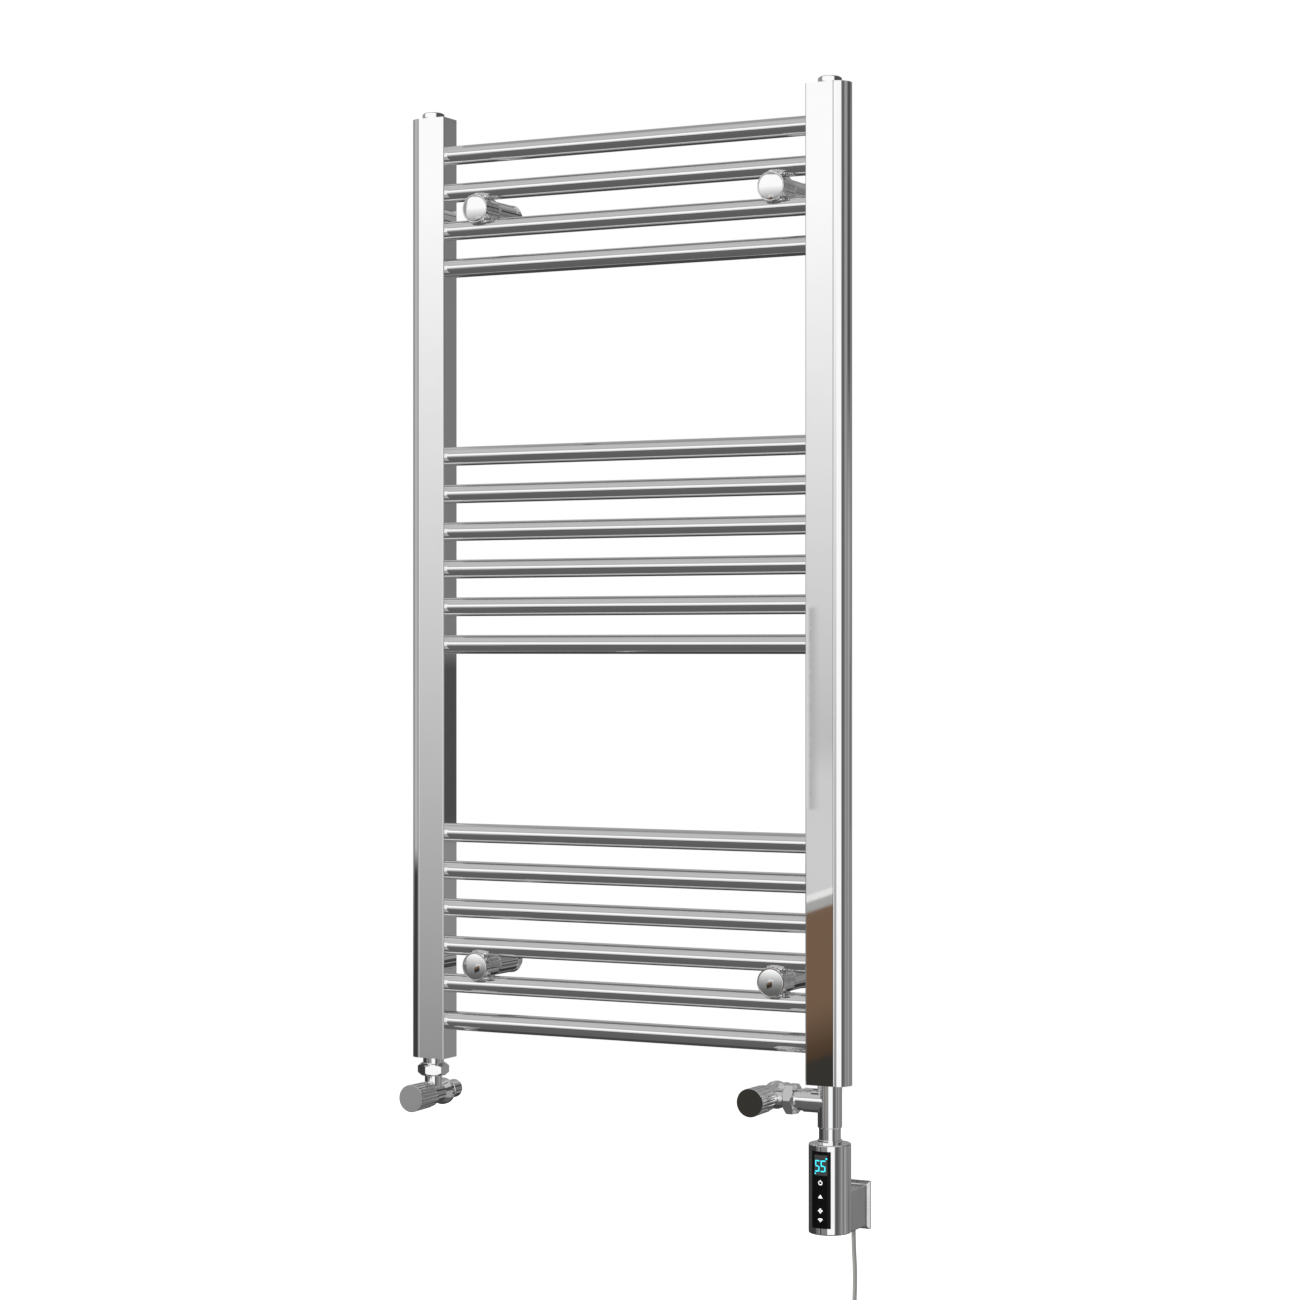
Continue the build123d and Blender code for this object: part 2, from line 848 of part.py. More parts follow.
panel_height = controller_height - panel_drop - panel_foot_margin
panel_foot = controller_at[2] + housing_foot + panel_foot_margin
panel_floor = controller_radius - panel_thickness
with BuildPart() as controller_housing:
    turn(
        controller_at,
        up,
        [
            (0, 0),
            (0, controller_neck_radius),
            (housing_top, controller_neck_radius),
            (housing_top, controller_radius - controller_edge),
            (housing_top - controller_edge * 0.3, controller_radius - controller_edge * 0.3),
            (housing_top - controller_edge, controller_radius),
            (housing_foot + controller_edge, controller_radius),
            (housing_foot + controller_edge * 0.3, controller_radius - controller_edge * 0.3),
            (housing_foot, controller_radius - controller_edge),
            (housing_foot, 0),
        ],
    )
    bore(controller_at, up, housing_foot, housing_top - controller_top, cavity_radius)
    bore(controller_at, up, housing_top - controller_top, 0, collar_stub_radius + thread_fit)
    recess = panel_sector(panel_floor, controller_radius + 1, panel_width / 2, panel_foot)
    extrude(recess, amount=panel_height, mode=Mode.SUBTRACT)
    bore(spigot_at, back, 0, controller_radius, spigot_radius + weld_gap)
save(controller_housing, "controller_housing")

with BuildPart() as touch_panel:
    glass = panel_sector(
        panel_floor + weld_gap,
        controller_radius + panel_proud,
        panel_width / 2 - panel_gap,
        panel_foot + panel_gap,
    )
    extrude(glass, amount=panel_height - 2 * panel_gap)
save(touch_panel, "touch_panel")

with BuildPart() as controller_base:
    base_radius = cavity_radius - weld_gap
    base_outline = [(housing_foot, 0), (housing_foot, base_radius), (base_top, base_radius), (base_top, 0)]
    turn(controller_at, up, base_outline)
save(controller_base, "controller_base")

with BuildPart() as control_board:
    with BuildSketch(Plane.XY.offset(controller_at[2] + base_top)):
        with Locations((post_x, rail_y - board_setback)):
            Rectangle(board_width, board_thickness)
    extrude(amount=controller_height - base_thickness - controller_top - board_head_gap)
save(control_board, "control_board")

# Cable box on the wall, and the spigot that slides into it
box_front = -plate_thickness - box_depth
with BuildPart() as cable_spigot:
    spigot_end = wall_to_rails + box_front + spigot_reach
    spigot_start = controller_radius - controller_wall
    turn(
        spigot_at,
        back,
        [
            (spigot_start, spigot_radius - spigot_wall),
            (spigot_start, spigot_radius),
            (spigot_end, spigot_radius),
            (spigot_end, spigot_radius - spigot_wall),
        ],
    )
save(cable_spigot, "cable_spigot")

box_middle = (post_x, box_z - box_height / 2)
cord_x = post_x + cord_exit[0]
cord_y = rail_y + cord_exit[1]
with BuildPart() as cable_box:
    with BuildSketch(Plane.XZ.offset(plate_thickness)):
        with Locations(box_middle):
            Rectangle(box_width, box_height)
    extrude(amount=box_depth)
    fillet(cable_box.edges().filter_by(Axis.Z).group_by(Axis.Y)[0], box_corner)
    chamfer(cable_box.faces().sort_by(Axis.Y)[0].edges().filter_by(Axis.X), box_edge)
    with BuildSketch(Plane.XZ.offset(plate_thickness)):
        with Locations(box_middle):
            Rectangle(box_width - 2 * box_wall, box_height - 2 * box_wall)
    extrude(amount=box_depth - box_corner, mode=Mode.SUBTRACT)
    bore(spigot_at, back, 0, wall_to_rails - plate_thickness, spigot_radius + slip_gap)
    cord_hole = (cord_x, cord_y, box_z - box_height)
    bore(cord_hole, up, 0, box_wall, cord_radius + cord_hole_gap)
save(cable_box, "cable_box")

with BuildPart() as box_wall_plate:
    with BuildSketch(Plane.XZ):
        with Locations(box_middle):
            Rectangle(plate_width, plate_height)
            with GridLocations(0, plate_screw_spacing, 1, 2):
                Circle(plate_screw_radius, mode=Mode.SUBTRACT)
    extrude(amount=plate_thickness)
    plate_face = box_wall_plate.faces().sort_by(Axis.Y)[0]
    rim = plate_face.outer_wire().edges()
    chamfer(rim, plate_bevel, plate_bevel_depth, reference=plate_face)
save(box_wall_plate, "box_wall_plate")

# Cord from the box down to its coil
cord_origin = Vector(cord_x, cord_y, box_z - box_height)
route = [cord_origin + Vector(*point) for point in cord_route]
runs = [end - start for start, end in zip(route, route[1:])]
bend_radii = []
for before, after in zip(runs, runs[1:]):
    half_turn = radians(before.get_angle(after)) / 2
    bend_radii.append(0.45 * min(before.length, after.length) / tan(half_turn))
print("cord bend radii", [round(radius, 1) for radius in bend_radii])
with BuildPart() as cord:
    with BuildLine() as cord_path:
        FilletPolyline(*route, radius=bend_radii)
    with BuildSketch(Plane(origin=route[0], z_dir=runs[0])):
        Circle(cord_radius)
    sweep(path=cord_path.line)
save(cord, "cord")
cord_tube = pi * cord_radius**2 * cord_path.wire().length
print("cord volume over section times length", round(cord.part.volume / cord_tube, 4))

# Coil: the cord spirals in on one layer, climbs towards the wall and spirals out on the next
cord_diameter = 2 * cord_radius
coil_turns = coil_turns_in + climb_turns + coil_turns_out
coil_turning = coil_turns_in + climb_turns / 2
coil_outer_radius = coil_inner_radius + coil_step * coil_turning
coil_centre = route[-1] - Vector(coil_outer_radius, 0, cord_diameter)


def coil_radius(turns):
    return coil_inner_radius + coil_step * abs(turns - coil_turning)


def coil_climb(turns):
    """Angle from nothing to a half circle over the climb between the two layers."""
    return pi * min(max((turns - coil_turns_in) / climb_turns, 0), 1)


def coil_point(turns):
    """Middle of the cord after a number of turns, which run clockwise from the right."""
    angle = -2 * pi * turns
    depth = coil_step * (1 - cos(coil_climb(turns))) / 2
    return coil_centre + Vector(coil_radius(turns) * cos(angle), depth, coil_radius(turns) * sin(angle))


def coil_way(turns):
    """Direction of the cord, which leans towards the wall only in the middle of the climb."""
    angle = -2 * pi * turns
    lean = coil_step * sin(coil_climb(turns)) / (4 * climb_turns * coil_radius(turns))
    return Vector(sin(angle), lean, -cos(angle)).normalized()


def biarc(start, start_way, end, end_way):
    """Two arcs that leave along one direction and arrive along another."""
    span = end - start
    ways = start_way + end_way
    spread = 2 * (1 - start_way.dot(end_way))
    reach = (sqrt(span.dot(ways) ** 2 + spread * span.dot(span)) - span.dot(ways)) / spread
    middle = (start + start_way * reach + end - end_way * reach) / 2
    TangentArc(start, middle, tangent=start_way)
    TangentArc(middle, end, tangent=end - end_way * reach - middle)


coil_nodes = sorted([n / 2 for n in range(round(2 * coil_turns) + 1)] + [coil_turning])
coil_start = coil_point(0)
coil_end = coil_point(coil_turns)
with BuildPart() as cord_coil:
    with BuildLine() as coil_path:
        Line(coil_start + Vector(0, 0, cord_diameter), coil_start)
        for node, after in zip(coil_nodes, coil_nodes[1:]):
            biarc(coil_point(node), coil_way(node), coil_point(after), coil_way(after))
        Line(coil_end, coil_end - Vector(0, 0, cord_diameter))
    with BuildSketch(Plane(origin=coil_start + Vector(0, 0, cord_diameter), z_dir=(0, 0, -1))):
        RegularPolygon(cord_radius, coil_sides)
    sweep(path=coil_path.line)
save(cord_coil, "cord_coil")

samples = round(96 * coil_turns)
coil_line = coil_path.wire()
traced = [coil_line @ (n / samples) for n in range(samples + 1)]
apart = round(samples / coil_turns / 2)
coil_gap = min(
    (traced[a] - traced[b]).length for a in range(samples) for b in range(a + apart, samples + 1)
) - cord_diameter
print("coil length", round(coil_line.length, 1), "least gap to itself", round(coil_gap, 3))

# Tie round the top of the coil
tie_turn = 0.75
bundle_low = coil_radius(coil_turns_in - 1 + tie_turn) - cord_radius - tie_gap
bundle_high = coil_radius(tie_turn) + cord_radius + tie_gap
tie_middle = (coil_centre.X, coil_centre.Y + coil_step / 2)
tie_span = (coil_step + cord_diameter + 2 * tie_gap, bundle_high - bundle_low)
with BuildPart() as cord_tie:
    with BuildSketch(Plane.YZ.offset(coil_centre.X - tie_width / 2)):
        with Locations((tie_middle[1], coil_centre.Z + (bundle_low + bundle_high) / 2)):
            RectangleRounded(tie_span[0] + 2 * tie_thickness, tie_span[1] + 2 * tie_thickness, tie_corner)
            RectangleRounded(tie_span[0], tie_span[1], tie_corner - tie_thickness, mode=Mode.SUBTRACT)
    extrude(amount=tie_width)
    head_z = coil_centre.Z + bundle_high + tie_thickness + tie_head[2] / 2 - weld_gap
    with Locations((coil_centre.X, tie_middle[1], head_z)):
        Box(*tie_head)
save(cord_tie, "cord_tie")

# Tail and plug
relief_top = coil_end - Vector(0, 0, tail_length)
with BuildPart() as cord_tail:
    with BuildSketch(Plane(origin=relief_top)):
        Circle(cord_radius)
    extrude(amount=tail_length - cord_diameter)
save(cord_tail, "cord_tail")

plug_top = relief_top - Vector(0, 0, relief_length)
plug_face = plug_top.Y - plug_front
line_pin_z = plug_top.Z - pin_setback
with BuildPart() as plug:
    with BuildSketch(Plane.XZ.offset(-plug_face - plug_depth)):
        with Locations((plug_top.X, plug_top.Z - plug_length / 2)):
            RectangleRounded(plug_width, plug_length, plug_corner)
    extrude(amount=plug_depth)
    fillet(plug.faces().sort_by(Axis.Y)[-1].edges(), plug_edge)
    turn(
        tuple(plug_top),
        up,
        [
            (-plug_edge, 0),
            (-plug_edge, relief_root_radius),
            (plug_edge, relief_root_radius),
            (relief_length, relief_tip_radius),
            (relief_length, 0),
        ],
    )
    pin_places = [
        (plug_top.X - pin_spacing / 2, line_pin_z, line_pin),
        (plug_top.X + pin_spacing / 2, line_pin_z, line_pin),
        (plug_top.X, line_pin_z - pin_spacing, earth_pin),
    ]
    for pin_x, pin_z, (width, tall, _) in pin_places:
        with BuildSketch(Plane.XZ.offset(-plug_face)) as hole:
            with Locations((pin_x, pin_z)):
                Rectangle(width + 2 * weld_gap, tall + 2 * weld_gap)
        extrude(hole.sketch, amount=-pin_sink, mode=Mode.SUBTRACT)
save(plug, "plug")

with BuildPart() as plug_pins:
    for pin_x, pin_z, (width, tall, length) in pin_places:
        with BuildSketch(Plane.XZ.offset(-plug_face - pin_sink)) as pin:
            with Locations((pin_x, pin_z)):
                Rectangle(width, tall)
        extrude(pin.sketch, amount=length + pin_sink)
save(plug_pins, "plug_pins")
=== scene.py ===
"""Looks of the chrome ladder radiator: materials, cord, panel marks, studio and camera, in metres."""

import bmesh
import bpy
import json
from math import asin, cos, pi, radians, sin
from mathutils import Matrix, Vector


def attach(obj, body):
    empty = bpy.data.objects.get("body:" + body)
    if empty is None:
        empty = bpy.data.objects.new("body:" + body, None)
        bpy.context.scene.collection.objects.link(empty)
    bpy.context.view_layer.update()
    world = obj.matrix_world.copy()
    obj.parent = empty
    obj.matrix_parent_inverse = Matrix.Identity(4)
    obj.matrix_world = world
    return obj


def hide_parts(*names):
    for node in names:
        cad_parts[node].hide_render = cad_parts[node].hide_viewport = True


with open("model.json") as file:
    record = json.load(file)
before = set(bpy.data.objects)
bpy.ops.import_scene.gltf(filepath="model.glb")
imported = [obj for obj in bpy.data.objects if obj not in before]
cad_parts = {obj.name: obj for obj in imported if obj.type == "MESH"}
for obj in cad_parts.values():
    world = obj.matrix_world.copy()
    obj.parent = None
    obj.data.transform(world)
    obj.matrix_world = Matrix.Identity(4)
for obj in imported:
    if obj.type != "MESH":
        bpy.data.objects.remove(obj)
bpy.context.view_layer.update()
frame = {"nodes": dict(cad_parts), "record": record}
scene = bpy.context.scene
scene.view_settings.view_transform = "Standard"

# Places shared with the solids
post_x = 0.231
rail_y = -0.072
panel_radius = 0.0214
panel_turn = radians(2.5)
cord_radius = 0.00225


# Node helpers
def new_tree(name):
    material = bpy.data.materials.new(name)
    material.use_nodes = True
    return material, material.node_tree, material.node_tree.nodes["Principled BSDF"]


def add_node(tree, kind, inputs=(), **settings):
    """Adds a node, with its inputs given as numbers or as sockets to link."""
    node = tree.nodes.new(kind)
    for key, value in settings.items():
        setattr(node, key, value)
    for key, value in dict(inputs).items():
        if isinstance(value, bpy.types.NodeSocket):
            tree.links.new(value, node.inputs[key])
        else:
            node.inputs[key].default_value = value
    return node


def noise(tree, scale, detail, stretch=(1, 1, 1)):
    """Noise fixed to the object, finer as its scale grows."""
    place = add_node(tree, "ShaderNodeTexCoord").outputs["Object"]
    place = add_node(tree, "ShaderNodeMapping", {"Vector": place, "Scale": stretch}).outputs["Vector"]
    grain = add_node(tree, "ShaderNodeTexNoise", {"Vector": place, "Scale": scale, "Detail": detail})
    return grain.outputs["Fac"]


def spread(tree, value, low, high, start=0.3, end=0.7):
    """Maps a noise value to a range of numbers."""
    inputs = {"Value": value, "From Min": start, "From Max": end, "To Min": low, "To Max": high}
    return add_node(tree, "ShaderNodeMapRange", inputs).outputs["Result"]


def blend(tree, value, low, high):
    """Mixes two colours, each given as numbers or as a socket, by a value from nought to one."""
    node = add_node(tree, "ShaderNodeMix", {"Factor": value}, data_type="RGBA")
    for socket, colour in zip([s for s in node.inputs if s.type == "RGBA"], (low, high)):
        if isinstance(colour, bpy.types.NodeSocket):
            tree.links.new(colour, socket)
        else:
            socket.default_value = (*colour, 1)
    return next(s for s in node.outputs if s.type == "RGBA")


def relief(tree, shader, value, depth):
    """Raises the surface's grain by a depth in metres."""
    bump = add_node(tree, "ShaderNodeBump", {"Height": value, "Distance": depth})
    tree.links.new(bump.outputs["Normal"], shader.inputs["Normal"])


# Materials: how much finer a metal's smears and a plastic's grain are than their drift of tone, and lit marks
smears_per_drift = 7
grains_per_drift = 12
lamp_grain = 900
lamp_dimmest = 0.92


def metal(name, low, high, rough, rough_top, grain, stretch=(1, 1, 1)):
    """Plated or bare metal, whose tone and roughness drift over the surface."""
    material, tree, shader = new_tree(name)
    shader.inputs["Metallic"].default_value = 1.0
    drift = noise(tree, grain, 4.0, stretch)
    smear = noise(tree, smears_per_drift * grain, 5.0, stretch)
    tree.links.new(blend(tree, spread(tree, drift, 0, 1), low, high), shader.inputs["Base Color"])
    tree.links.new(spread(tree, smear, rough, rough_top), shader.inputs["Roughness"])
    return material


def plastic(name, low, high, rough, rough_top, grain, depth, gloss=0.5):
    """Moulded plastic or glass with a slight drift of colour and, where it has depth, a fine grain."""
    material, tree, shader = new_tree(name)
    drift = noise(tree, grain / grains_per_drift, 3.0)
    fine = noise(tree, grain, 6.0)
    tree.links.new(blend(tree, spread(tree, drift, 0, 1), low, high), shader.inputs["Base Color"])
    tree.links.new(spread(tree, fine, rough, rough_top), shader.inputs["Roughness"])
    shader.inputs["Specular IOR Level"].default_value = gloss
    if depth:
        relief(tree, shader, fine, depth)
    return material


def lit(name, colour, glow, strength):
    """Lit mark under the panel's glass, a little uneven as a diffused lamp is."""
    material, tree, shader = new_tree(name)
    drift = noise(tree, lamp_grain, 2.0)
    tone = blend(tree, spread(tree, drift, 0, 1), [lamp_dimmest * c for c in colour], colour)
    tree.links.new(tone, shader.inputs["Base Color"])
    shader.inputs["Roughness"].default_value = 0.25
    shader.inputs["Emission Color"].default_value = (*glow, 1)
    shader.inputs["Emission Strength"].default_value = strength
    return material


# Darkest and lightest colour, least and most roughness, grain across a metre, then stretch or depth and gloss
metals = {
    "chrome": ((0.95, 0.95, 0.953), (0.965, 0.965, 0.968), 0.006, 0.02, 40),
    "brass": ((0.62, 0.45, 0.2), (0.74, 0.57, 0.28), 0.18, 0.3, 90),
    "zinc_steel": ((0.5, 0.51, 0.52), (0.6, 0.61, 0.63), 0.22, 0.38, 120),
    "element_sheath": ((0.42, 0.41, 0.4), (0.5, 0.49, 0.48), 0.3, 0.45, 40, (1, 1, 0.05)),
    "box_silver": ((0.74, 0.74, 0.745), (0.8, 0.8, 0.805), 0.14, 0.2, 60),
}
plastics = {
    "seal_rubber": ((0.02, 0.02, 0.02), (0.03, 0.03, 0.03), 0.6, 0.75, 1500, 0.00002),
    "panel_black": ((0.003, 0.003, 0.0032), (0.0042, 0.0042, 0.0045), 0.06, 0.12, 250, 0, 0.1),
    "base_plastic": ((0.03, 0.03, 0.03), (0.045, 0.045, 0.045), 0.5, 0.65, 2500, 0.00003),
    "board_green": ((0.01, 0.1, 0.04), (0.02, 0.16, 0.07), 0.35, 0.5, 800, 0.00001),
    "cord_grey": ((0.315, 0.31, 0.3), (0.355, 0.35, 0.34), 0.38, 0.5, 2200, 0.00002),
    "tie_white": ((0.61, 0.61, 0.595), (0.68, 0.68, 0.67), 0.4, 0.55, 2000, 0.00002),
    "plug_white": ((0.63, 0.63, 0.615), (0.68, 0.68, 0.665), 0.32, 0.46, 3000, 0.00002),
}
materials = {name: metal(name, *look) for name, look in metals.items()}
materials |= {name: plastic(name, *look) for name, look in plastics.items()}
for part in frame["record"]["subparts"]:
    shown = frame["nodes"][part["node"]]
    shown.data.materials.clear()
    shown.data.materials.append(materials[part["material_slot"]])

# Cord: the same route as its solids, then the coil's turns and the tail into the plug
cord_exit = Vector((post_x + 0.001, rail_y + 0.057, -0.6515))
cord_route = ((0, 0, 4.5), (0, 0, -15.5), (1.8, 0.2, -45.5), (1.2, -0.2, -76.5), (0, 0, -104.5), (0, 0, -129))
tail_drops = (0.006, 0.014, 0.0275)
coil_drop = 0.1335
coil_inner = 0.01675
coil_step = 0.005
coil_turning = 4.25
coil_turns = 8
climb = (4.0, 4.5)
coil_outer = coil_inner + coil_step * coil_turning
coil_centre = cord_exit + Vector((-coil_outer, 0, -coil_drop))
points_per_turn = 24


def coil_point(turns):
    """Place on the coil, which spirals in, climbs a layer and spirals out again."""
    radius = coil_inner + coil_step * abs(turns - coil_turning)
    climbed = min(max((turns - climb[0]) / (climb[1] - climb[0]), 0), 1)
    depth = coil_step * (1 - cos(pi * climbed)) / 2
    angle = -2 * pi * turns
    return coil_centre + Vector((radius * cos(angle), depth, radius * sin(angle)))


cord_points = [cord_exit + Vector(point) / 1000 for point in cord_route]
cord_points += [coil_point(n / points_per_turn) for n in range(points_per_turn * coil_turns + 1)]
cord_end = coil_point(coil_turns)
cord_points += [cord_end - Vector((0, 0, drop)) for drop in tail_drops]
cord_curve = bpy.data.curves.new("cord_line", "CURVE")
cord_curve.dimensions = "3D"
cord_curve.bevel_depth = cord_radius
cord_curve.bevel_resolution = 5
cord_curve.resolution_u = 6
cord_curve.use_fill_caps = True
spline = cord_curve.splines.new("NURBS")
spline.points.add(len(cord_points) - 1)
for point, place in zip(spline.points, cord_points):
    point.co = (*place, 1)
spline.order_u = 3
spline.use_endpoint_u = True
cord = bpy.data.objects.new("cord_sheath", cord_curve)
scene.collection.objects.link(cord)
cord_curve.materials.append(materials["cord_grey"])
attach(cord, "wall_fixings")
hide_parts("cord", "cord_coil", "cord_tail")


# Domed caps of the brackets, turned fine enough for a clean mirror
bracket_x = 0.172
bracket_z = 0.4
dome_radius = 0.0139
dome_floor = 0.0116
dome_shoulder = 0.0139
dome_top = 0.015
dome_round = 0.0008
dome_segments = 96
dome_edge_rings = 8
dome_rings = 28
dome_rise = dome_top - dome_shoulder
ball = (dome_radius**2 + dome_rise**2) / (2 * dome_rise)


def dome_outline():
    """Reach and height of the dome's rings: low side, rounded edge, then the shallow ball to the top."""
    round_reach = dome_radius - dome_round
    lean = asin(round_reach / (ball - dome_round))
    round_height = dome_top - ball + (ball - dome_round) * cos(lean)
    outline = [(dome_radius, dome_floor)]
    for n in range(dome_edge_rings + 1):
        angle = pi / 2 - (pi / 2 - lean) * n / dome_edge_rings
        outline.append((round_reach + dome_round * sin(angle), round_height + dome_round * cos(angle)))
    for n in range(1, dome_rings):
        angle = lean * (1 - n / dome_rings)
        outline.append((ball * sin(angle), dome_top - ball + ball * cos(angle)))
    return outline


def turned_dome(shape, x, z):
    """Adds one dome, facing forward, round a line through the given place."""
    spots = [2 * pi * n / dome_segments for n in range(dome_segments)]
    rings = []
    for reach, height in dome_outline():
        corners = [(x + reach * cos(t), rail_y - height, z + reach * sin(t)) for t in spots]
        rings.append([shape.verts.new(corner) for corner in corners])
    for lower, upper in zip(rings, rings[1:]):
        for n in range(dome_segments):
            after = (n + 1) % dome_segments
            shape.faces.new((lower[n], lower[after], upper[after], upper[n]))
    shape.faces.new(rings[0])
    tip = shape.verts.new((x, rail_y - dome_top, z))
    for n in range(dome_segments):
        shape.faces.new((rings[-1][n], rings[-1][(n + 1) % dome_segments], tip))


dome_shape = bmesh.new()
for x in (-bracket_x, bracket_x):
    for z in (-bracket_z, bracket_z):
        turned_dome(dome_shape, x, z)
bmesh.ops.recalc_face_normals(dome_shape, faces=dome_shape.faces[:])
for face in dome_shape.faces:
    face.smooth = len(face.verts) < dome_segments
dome_mesh = bpy.data.meshes.new("dome_caps_turned")
dome_shape.to_mesh(dome_mesh)
dome_shape.free()
dome_mesh.materials.append(materials["chrome"])
domes = bpy.data.objects.new("dome_caps_turned", dome_mesh)
scene.collection.objects.link(domes)
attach(domes, "radiator")
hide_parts("dome_caps")


# Marks on the touch panel, wrapped round its curve, in millimetres until they are wrapped
bend_step = 0.5
bend_half = 7
pinhole = 0.05
digits_z = -584.2
power_z = -595.1
raise_z = -610.4
fan_z = -622.8
signal_z = -634.2
# How far each layer stands over the glass, and how deep they all reach into it, in metres
field_lift = 0.00002
mark_lift = 0.00004
digit_lift = 0.00005
mark_sink = 0.00004


def panel_mark(name, outlines, material, lift):
    """Thin raised shapes from flat outlines of (across, height) points in millimetres."""
    mesh = bpy.data.meshes.new(name)
    shape = bmesh.new()
    for outline in outlines:
        corners = [shape.verts.new((across, 0, height)) for across, height in outline]
        shape.faces.new(corners)
    cuts = round(bend_half / bend_step)
    for cut in range(-cuts, cuts + 1):
        everything = shape.verts[:] + shape.edges[:] + shape.faces[:]
        bmesh.ops.bisect_plane(shape, geom=everything, plane_co=(cut * bend_step, 0, 0), plane_no=(1, 0, 0))
    bmesh.ops.recalc_face_normals(shape, faces=shape.faces[:])
    for face in shape.faces:
        if face.normal.y > 0:
            face.normal_flip()
    raised = bmesh.ops.extrude_face_region(shape, geom=shape.faces[:])["geom"]
    for vert in raised:
        if isinstance(vert, bmesh.types.BMVert):
            vert.co.y = 1
    for vert in shape.verts:
        reach = panel_radius + (lift if vert.co.y < 0.5 else -mark_sink)
        angle = vert.co.x / 1000 / panel_radius - panel_turn
        vert.co = (post_x + reach * sin(angle), rail_y - reach * cos(angle), vert.co.z / 1000)
    bmesh.ops.recalc_face_normals(shape, faces=shape.faces[:])
    shape.to_mesh(mesh)
    shape.free()
    piece = bpy.data.objects.new(name, mesh)
    scene.collection.objects.link(piece)
    mesh.materials.append(material)
    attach(piece, "radiator")


def bar(x0, z0, x1, z1):
    """Upright rectangle between two corners."""
    return [(x0, z0), (x1, z0), (x1, z1), (x0, z1)]


def ring(x, z, inner, outer, start, end, count=20):
    """Ring sector between two angles in degrees, as a chain of small quads."""
    quads = []
    for n in range(count):
        a = radians(start + (end - start) * n / count)
        b = radians(start + (end - start) * (n + 1) / count)
        corners = ((inner, a), (outer, a), (outer, b), (inner, b))
        quads.append([(x + r * cos(t), z + r * sin(t)) for r, t in corners])
    return quads


def dot(x, z, radius, count=20):
    """Filled circle, as a ring round a pinhole."""
    return ring(x, z, pinhole, radius, 0, 360, count)


# Strokes of a five on a segment display, as corners from its lower left
five = [
    (0, 0, 3.65, 1.2),
    (3.8, 0.4, 5, 5.55),
    (0.3, 5.2, 3.65, 6.4),
    (0, 6.55, 1.2, 11.4),
    (1.35, 10.4, 5, 11.6),
]


def digit_five(x, z):
    return [bar(x + x0, z + z0, x + x1, z + z1) for x0, z0, x1, z1 in five]


cyan = lit("display_cyan", (0.03, 0.5, 0.6), (0.03, 0.76, 0.93), 0.95)
slate = lit("display_slate", (0.022, 0.022, 0.023), (0.043, 0.043, 0.045), 0.45)
white = lit("mark_white", (0.75, 0.75, 0.75), (0.9, 0.9, 0.9), 0.55)
panel_mark("display_field", [bar(-7.1, -587.8, 7.3, -567.4)], slate, field_lift)
digits = digit_five(-6.0, digits_z) + digit_five(0.4, digits_z)
panel_mark("display_digits", digits + dot(6.3, -571.0, 0.95) + dot(-6.0, -586.0, 0.85), cyan, digit_lift)
power = ring(0, power_z, 1.45, 2.3, 122, 418) + [bar(-0.45, power_z + 1.1, 0.45, power_z + 2.8)]
panel_mark("power_mark", power, white, mark_lift)
panel_mark("raise_mark", [[(-2.6, raise_z), (2.6, raise_z), (0, raise_z + 3.8)]], white, mark_lift)
blades = []
for angle in (0, pi / 2, pi, 3 * pi / 2):
    blades += dot(1.5 * cos(angle), fan_z + 1.5 * sin(angle), 0.95, 14)
panel_mark("fan_mark", blades, white, mark_lift)
waves = []
for inner, outer, count in ((pinhole, 1.2, 8), (1.75, 2.6, 10), (3.1, 4.0, 12)):
    waves += ring(0, signal_z, inner, outer, 45, 135, count)
panel_mark("signal_mark", waves, white, mark_lift)

# Studio: a pale floor well below, a white surround and soft lamps
floor_place = (0, -0.6, -0.902)
floor_radius = 3.2
floor_mesh = bpy.data.meshes.new("floor")
floor_shape = bmesh.new()
bmesh.ops.create_circle(floor_shape, cap_ends=True, segments=96, radius=floor_radius)
floor_shape.to_mesh(floor_mesh)
floor_shape.free()
floor = bpy.data.objects.new("floor", floor_mesh)
floor.location = floor_place
scene.collection.objects.link(floor)
floor.visible_glossy = False
floor_material, tree, shader = new_tree("floor_pale")
tone = blend(tree, spread(tree, noise(tree, 3, 3.0), 0, 1), (0.78, 0.78, 0.78), (0.82, 0.82, 0.82))
tree.links.new(tone, shader.inputs["Base Color"])
shader.inputs["Roughness"].default_value = 0.8
seen = add_node(tree, "ShaderNodeLightPath").outputs["Is Camera Ray"]
tree.links.new(seen, shader.inputs["Emission Strength"])
shader.inputs["Emission Color"].default_value = (0.6, 0.6, 0.6, 1)
floor_mesh.materials.append(floor_material)

world = bpy.data.worlds.new("studio")
scene.world = world
world.use_nodes = True
tree = world.node_tree
tree.nodes.clear()
place = add_node(tree, "ShaderNodeTexCoord").outputs["Generated"]
way = add_node(tree, "ShaderNodeSeparateXYZ", {"Vector": place}).outputs


def compute(operation, *values):
    """One step of arithmetic on sockets or numbers."""
    return add_node(tree, "ShaderNodeMath", dict(enumerate(values)), operation=operation).outputs[0]


# Bearing from the front, to the right, and height above level
bearing = compute("ARCTAN2", way["X"], compute("MULTIPLY", way["Y"], -1.0))
height = compute("ARCSINE", way["Z"])


def edge(value, start, end):
    """Smooth step from nothing at one angle to one at another, in degrees."""
    inputs = {"Value": value, "From Min": radians(start), "From Max": radians(end)}
    return add_node(tree, "ShaderNodeMapRange", inputs, interpolation_type="SMOOTHSTEP").outputs["Result"]


